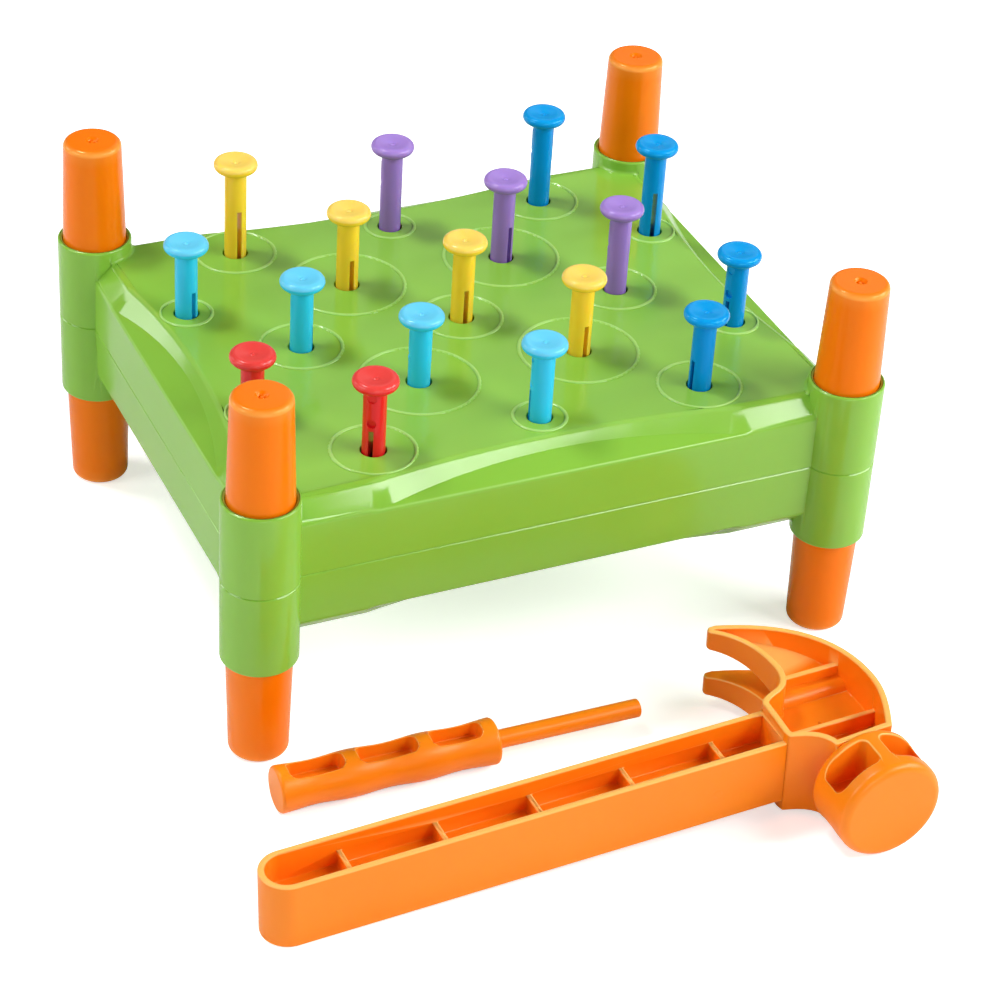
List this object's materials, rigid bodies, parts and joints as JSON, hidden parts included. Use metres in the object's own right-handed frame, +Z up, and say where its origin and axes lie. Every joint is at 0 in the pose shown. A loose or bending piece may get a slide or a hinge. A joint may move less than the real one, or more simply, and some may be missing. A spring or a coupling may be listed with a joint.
{
  "type": "peg pounding bench",
  "caption": "Moulded toy pounding bench on leg cups with sliding split pegs, lying beside a toy claw hammer and a peg punch.",
  "frame": {"origin": "on the floor, at the middle of the ground rectangle that the bench, hammer and punch cover together", "axes": "+Z up, +X to the right along the bench's longer side, +Y to the back; the hammer and punch lie at -Y"},
  "size_m": [0.303, 0.3636, 0.165],
  "materials": {
    "green": "satin moulded polypropylene",
    "orange": "satin moulded polypropylene",
    "red": "smooth moulded plastic",
    "sky": "smooth moulded plastic",
    "yellow": "smooth moulded plastic",
    "purple": "smooth moulded plastic",
    "blue": "smooth moulded plastic"
  },
  "bodies": {
    "bench": {"top_shell": "green", "bottom_shell": "green", "upper_leg_front_left": "orange", "upper_leg_front_right": "orange", "upper_leg_back_left": "orange", "upper_leg_back_right": "orange", "lower_leg_front_left": "orange", "lower_leg_front_right": "orange", "lower_leg_back_left": "orange", "lower_leg_back_right": "orange"},
    "peg_red_1": {"peg_red_1": "red"},
    "peg_red_2": {"peg_red_2": "red"},
    "peg_sky_1": {"peg_sky_1": "sky"},
    "peg_sky_2": {"peg_sky_2": "sky"},
    "peg_sky_3": {"peg_sky_3": "sky"},
    "peg_sky_4": {"peg_sky_4": "sky"},
    "peg_yellow_1": {"peg_yellow_1": "yellow"},
    "peg_yellow_2": {"peg_yellow_2": "yellow"},
    "peg_yellow_3": {"peg_yellow_3": "yellow"},
    "peg_yellow_4": {"peg_yellow_4": "yellow"},
    "peg_purple_1": {"peg_purple_1": "purple"},
    "peg_purple_2": {"peg_purple_2": "purple"},
    "peg_purple_3": {"peg_purple_3": "purple"},
    "peg_blue_1": {"peg_blue_1": "blue"},
    "peg_blue_2": {"peg_blue_2": "blue"},
    "peg_blue_3": {"peg_blue_3": "blue"},
    "peg_blue_4": {"peg_blue_4": "blue"},
    "hammer": {"hammer": "orange"},
    "punch": {"punch": "orange"}
  },
  "joints": [
    {"name": "peg_red_1_slide", "type": "slide", "parent": "bench", "child": "peg_red_1", "axis": [0, 0, 1], "range_m": [-0.02365, 0.02805]},
    {"name": "peg_red_2_slide", "type": "slide", "parent": "bench", "child": "peg_red_2", "axis": [0, 0, 1], "range_m": [-0.02899, 0.02271]},
    {"name": "peg_sky_1_slide", "type": "slide", "parent": "bench", "child": "peg_sky_1", "axis": [0, 0, 1], "range_m": [-0.0294, 0.0223]},
    {"name": "peg_sky_2_slide", "type": "slide", "parent": "bench", "child": "peg_sky_2", "axis": [0, 0, 1], "range_m": [-0.02824, 0.02346]},
    {"name": "peg_sky_3_slide", "type": "slide", "parent": "bench", "child": "peg_sky_3", "axis": [0, 0, 1], "range_m": [-0.0276, 0.0241]},
    {"name": "peg_sky_4_slide", "type": "slide", "parent": "bench", "child": "peg_sky_4", "axis": [0, 0, 1], "range_m": [-0.0309, 0.0208]},
    {"name": "peg_yellow_1_slide", "type": "slide", "parent": "bench", "child": "peg_yellow_1", "axis": [0, 0, 1], "range_m": [-0.03972, 0.01198]},
    {"name": "peg_yellow_2_slide", "type": "slide", "parent": "bench", "child": "peg_yellow_2", "axis": [0, 0, 1], "range_m": [-0.0316, 0.0201]},
    {"name": "peg_yellow_3_slide", "type": "slide", "parent": "bench", "child": "peg_yellow_3", "axis": [0, 0, 1], "range_m": [-0.03288, 0.01882]},
    {"name": "peg_yellow_4_slide", "type": "slide", "parent": "bench", "child": "peg_yellow_4", "axis": [0, 0, 1], "range_m": [-0.0316, 0.0201]},
    {"name": "peg_purple_1_slide", "type": "slide", "parent": "bench", "child": "peg_purple_1", "axis": [0, 0, 1], "range_m": [-0.0363, 0.0154]},
    {"name": "peg_purple_2_slide", "type": "slide", "parent": "bench", "child": "peg_purple_2", "axis": [0, 0, 1], "range_m": [-0.03421, 0.01749]},
    {"name": "peg_purple_3_slide", "type": "slide", "parent": "bench", "child": "peg_purple_3", "axis": [0, 0, 1], "range_m": [-0.03589, 0.01581]},
    {"name": "peg_blue_1_slide", "type": "slide", "parent": "bench", "child": "peg_blue_1", "axis": [0, 0, 1], "range_m": [-0.03056, 0.02114]},
    {"name": "peg_blue_2_slide", "type": "slide", "parent": "bench", "child": "peg_blue_2", "axis": [0, 0, 1], "range_m": [-0.02916, 0.02254]},
    {"name": "peg_blue_3_slide", "type": "slide", "parent": "bench", "child": "peg_blue_3", "axis": [0, 0, 1], "range_m": [-0.03897, 0.01273]},
    {"name": "peg_blue_4_slide", "type": "slide", "parent": "bench", "child": "peg_blue_4", "axis": [0, 0, 1], "range_m": [-0.03862, 0.01308]},
    {"name": "hammer_lift", "type": "slide", "parent": "bench", "child": "hammer", "axis": [0, 0, 1], "range_m": [0, 0.15]},
    {"name": "punch_lift", "type": "slide", "parent": "bench", "child": "punch", "axis": [0, 0, 1], "range_m": [0, 0.12]}
  ]
}
